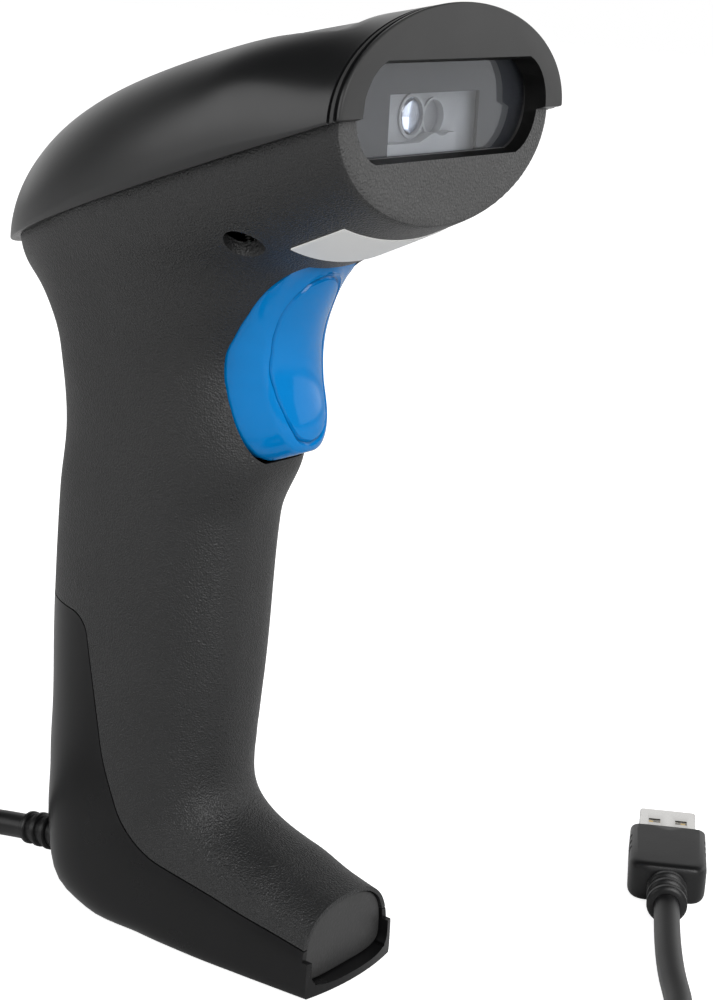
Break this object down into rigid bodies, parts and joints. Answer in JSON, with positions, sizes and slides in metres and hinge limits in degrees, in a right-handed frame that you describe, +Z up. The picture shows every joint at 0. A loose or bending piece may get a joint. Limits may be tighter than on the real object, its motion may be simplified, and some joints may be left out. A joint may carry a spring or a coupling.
{
  "type": "handheld barcode scanner",
  "caption": "Pistol-grip handheld barcode scanner standing on its foot, with a finger trigger, a wide scan window and a coiled USB lead.",
  "frame": {"origin": "centre of the scanner's own outline, on the surface it stands on", "axes": "+Z up, -Y the way the scan window looks, X across the head"},
  "size_m": [0.2345, 0.1867, 0.1802],
  "materials": {
    "cover_plastic": "satin black",
    "body_plastic": "fine leather grain, dark grey",
    "base_plastic": "smooth black",
    "trigger_plastic": "glossy blue",
    "frame_plastic": "dark printed border",
    "clear_window": "clear",
    "chassis_plastic": "light grey",
    "black_plastic": "black",
    "lens_glass": "coated lens",
    "mirror_glass": "polished",
    "board_laminate": "solder mask, green",
    "lamp_plastic": "red lamp",
    "white_plastic": "ivory",
    "steel": "bright",
    "zinc_screw": "zinc plated",
    "pad_rubber": "black",
    "label_paper": "blank white",
    "cable_jacket": "black, slightly glossy",
    "contact_metal": "gold plated"
  },
  "bodies": {
    "housing": {"top_cover": "cover_plastic", "body_shell": "body_plastic", "base_shell": "base_plastic", "toe_end_plate": "base_plastic", "sole_pad": "pad_rubber", "window_frame": "frame_plastic", "scan_window": "clear_window", "engine_chassis": "chassis_plastic", "lens_barrel": "black_plastic", "engine_lens": "lens_glass", "engine_mirror": "mirror_glass", "engine_led": "lamp_plastic", "engine_board": "board_laminate", "main_board": "board_laminate", "decoder_chip": "black_plastic", "buzzer": "black_plastic", "cable_socket": "white_plastic", "lead_connector": "white_plastic", "trigger_pin": "steel", "trigger_spring": "steel", "switch_body": "black_plastic", "switch_board": "board_laminate", "cover_screws": "zinc_screw", "board_screws": "zinc_screw", "base_screws": "zinc_screw", "blank_sticker": "label_paper", "cable_boot": "cable_jacket", "inner_lead": "cable_jacket", "cable_out": "cable_jacket", "cable_coil": "cable_jacket", "coil_tie": "black_plastic", "cable_in": "cable_jacket", "plug_relief": "cable_jacket", "plug_overmould": "cable_jacket", "usb_shell": "steel", "usb_tongue": "white_plastic", "usb_contacts": "contact_metal"},
    "trigger": {"trigger": "trigger_plastic"},
    "plunger": {"switch_plunger": "white_plastic"}
  },
  "joints": [
    {"name": "trigger_pull", "type": "hinge", "parent": "housing", "child": "trigger", "pos_m": [0, -0.0065, 0.127], "axis": [1, 0, 0], "range_deg": [0, 7], "stiffness_Nm_per_rad": 0.25, "springref_deg": -14.32, "deforming": ["trigger_spring"]},
    {"name": "plunger_press", "type": "slide", "parent": "housing", "child": "plunger", "axis": [0, 1, 0], "range_m": [0, 0.0012]}
  ],
  "couplings": [
    {"joint": "plunger_press", "follows": "trigger_pull", "m_per_rad": 0.0086}
  ]
}
